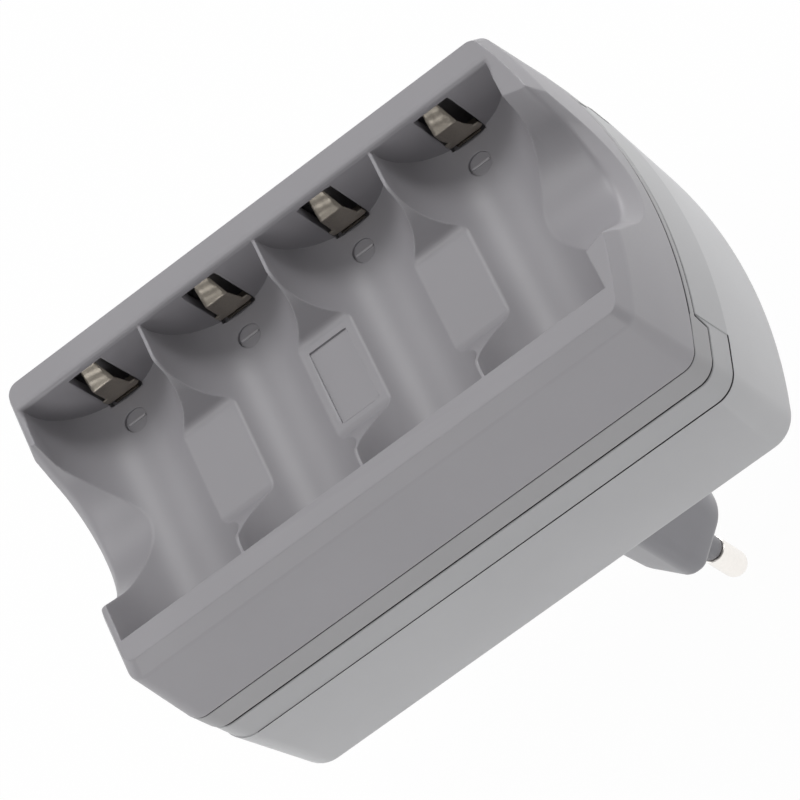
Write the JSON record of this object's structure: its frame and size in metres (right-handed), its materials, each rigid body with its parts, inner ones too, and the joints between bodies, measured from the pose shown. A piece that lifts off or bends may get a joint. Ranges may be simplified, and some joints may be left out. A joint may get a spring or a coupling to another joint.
{
  "type": "lithium battery charger",
  "caption": "Plug-in wall charger with a row of open troughs for round lithium cells, scooped ends, sprung leaf contacts and a flat two-pin plug below.",
  "frame": {"origin": "middle of the plug's engagement face, between the two pins", "axes": "+Z from the plug up through the battery tray, +X along the row of bays away from the long side of the housing, +Y toward the leaf contacts; the pins point along -Z and are spaced along Y"},
  "size_m": [0.0886, 0.0515, 0.0935],
  "materials": {
    "cover_plastic": "fine satin texture",
    "frame_plastic": "fine satin texture",
    "shell_plastic": "fine satin texture",
    "pin_metal": "polished nickel",
    "sleeve_plastic": "satin",
    "contact_metal": "nickel plate",
    "board": "solder mask",
    "ferrite": "dull",
    "bobbin_plastic": "dull",
    "winding": "taped",
    "capacitor_sleeve": "shrink sleeve",
    "black_resin": "moulded",
    "fuse_body": "moulded",
    "sink_metal": "extruded",
    "front_lead": "wire sleeve",
    "rear_lead": "wire sleeve",
    "screw_steel": "zinc plate"
  },
  "bodies": {
    "charger": {"upper_cover": "cover_plastic", "middle_frame": "frame_plastic", "lower_shell": "shell_plastic", "front_pin": "pin_metal", "rear_pin": "pin_metal", "front_pin_sleeve": "sleeve_plastic", "rear_pin_sleeve": "sleeve_plastic", "positive_contact_1": "contact_metal", "positive_contact_2": "contact_metal", "positive_contact_3": "contact_metal", "positive_contact_4": "contact_metal", "negative_bus": "contact_metal", "circuit_board": "board", "transformer_core": "ferrite", "transformer_bobbin": "bobbin_plastic", "transformer_winding": "winding", "input_capacitor": "capacitor_sleeve", "output_capacitor": "capacitor_sleeve", "rectifier": "black_resin", "fuse": "fuse_body", "controller_chip": "black_resin", "power_transistor": "black_resin", "heat_sink": "sink_metal", "front_pin_lead": "front_lead", "rear_pin_lead": "rear_lead", "housing_screws": "screw_steel"},
    "leaf_1": {"negative_contact_1": "contact_metal"},
    "leaf_2": {"negative_contact_2": "contact_metal"},
    "leaf_3": {"negative_contact_3": "contact_metal"},
    "leaf_4": {"negative_contact_4": "contact_metal"}
  },
  "joints": [
    {"name": "leaf_1_flex", "type": "hinge", "parent": "charger", "child": "leaf_1", "pos_m": [-0.04155, 0.0209, 0.0637], "axis": [-1, 0, 0], "range_deg": [0, 10], "stiffness_Nm_per_rad": 0.05},
    {"name": "leaf_2_flex", "type": "hinge", "parent": "charger", "child": "leaf_2", "pos_m": [-0.02205, 0.0209, 0.0637], "axis": [-1, 0, 0], "range_deg": [0, 10], "stiffness_Nm_per_rad": 0.05},
    {"name": "leaf_3_flex", "type": "hinge", "parent": "charger", "child": "leaf_3", "pos_m": [-0.00255, 0.0209, 0.0637], "axis": [-1, 0, 0], "range_deg": [0, 10], "stiffness_Nm_per_rad": 0.05},
    {"name": "leaf_4_flex", "type": "hinge", "parent": "charger", "child": "leaf_4", "pos_m": [0.01695, 0.0209, 0.0637], "axis": [-1, 0, 0], "range_deg": [0, 10], "stiffness_Nm_per_rad": 0.05}
  ]
}
